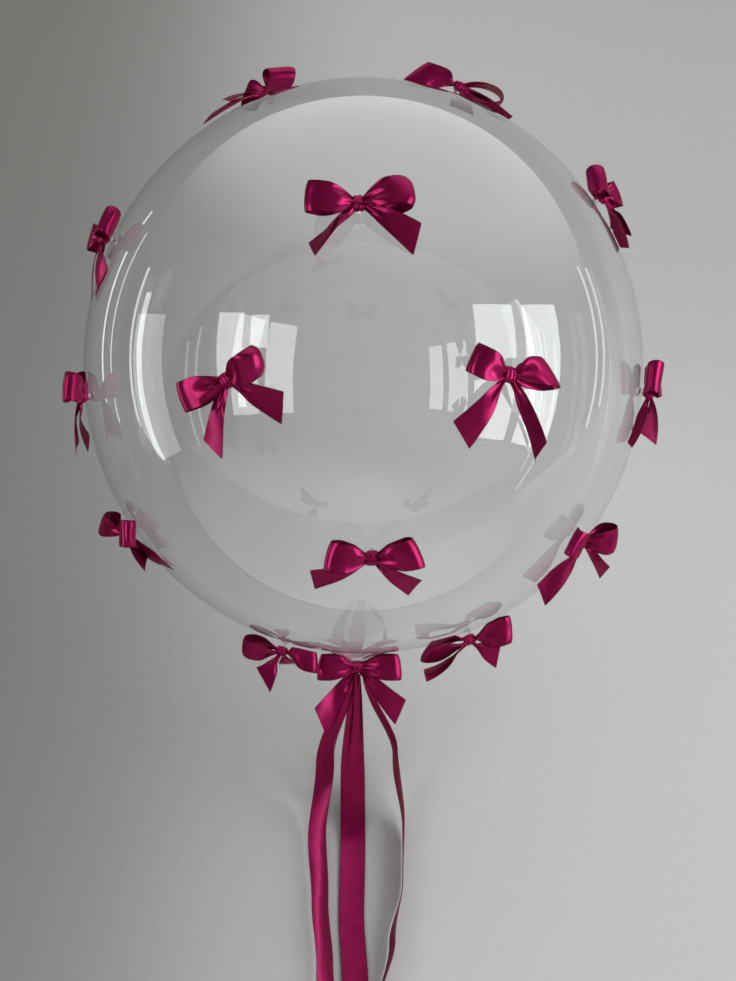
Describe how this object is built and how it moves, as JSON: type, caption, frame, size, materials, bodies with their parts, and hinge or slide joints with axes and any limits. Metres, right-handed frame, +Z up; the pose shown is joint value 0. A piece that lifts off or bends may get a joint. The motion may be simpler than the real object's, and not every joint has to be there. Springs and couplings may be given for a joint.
{
  "type": "bubble balloon with ribbon bows",
  "caption": "Round clear bubble balloon with small satin ribbon bows glued over its front and long ribbon tails hanging from the bow at its neck.",
  "frame": {"origin": "middle of the small flat spot on the back of the balloon that it lies on", "axes": "+Z up out of the flat spot, -Y the way the neck points and the long tails run along the floor, +X to the right seen from the tails"},
  "size_m": [0.558, 0.8994, 0.5814],
  "materials": {
    "clear_film": "clear and glossy",
    "clear_glue": "clear and glossy",
    "satin_ribbon": "satin"
  },
  "bodies": {
    "root": {"balloon_film": "clear_film", "glue_dot_top_front": "clear_glue", "glue_dot_left_front": "clear_glue", "glue_dot_right_front": "clear_glue", "glue_dot_bottom_front": "clear_glue", "glue_dot_top_left": "clear_glue", "glue_dot_top_right": "clear_glue", "glue_dot_upper_right": "clear_glue", "glue_dot_upper_left": "clear_glue", "glue_dot_left": "clear_glue", "glue_dot_right": "clear_glue", "glue_dot_lower_left": "clear_glue", "glue_dot_lower_right": "clear_glue", "glue_dot_bottom_left": "clear_glue", "glue_dot_bottom_right": "clear_glue", "bow_top_front": "satin_ribbon", "bow_left_front": "satin_ribbon", "bow_right_front": "satin_ribbon", "bow_bottom_front": "satin_ribbon", "bow_top_left": "satin_ribbon", "bow_top_right": "satin_ribbon", "bow_upper_right": "satin_ribbon", "bow_upper_left": "satin_ribbon", "bow_left": "satin_ribbon", "bow_right": "satin_ribbon", "bow_lower_left": "satin_ribbon", "bow_lower_right": "satin_ribbon", "bow_bottom_left": "satin_ribbon", "bow_bottom_right": "satin_ribbon", "neck_bow": "satin_ribbon", "tail_left": "satin_ribbon", "tail_middle": "satin_ribbon", "tail_right": "satin_ribbon"}
  },
  "joints": []
}
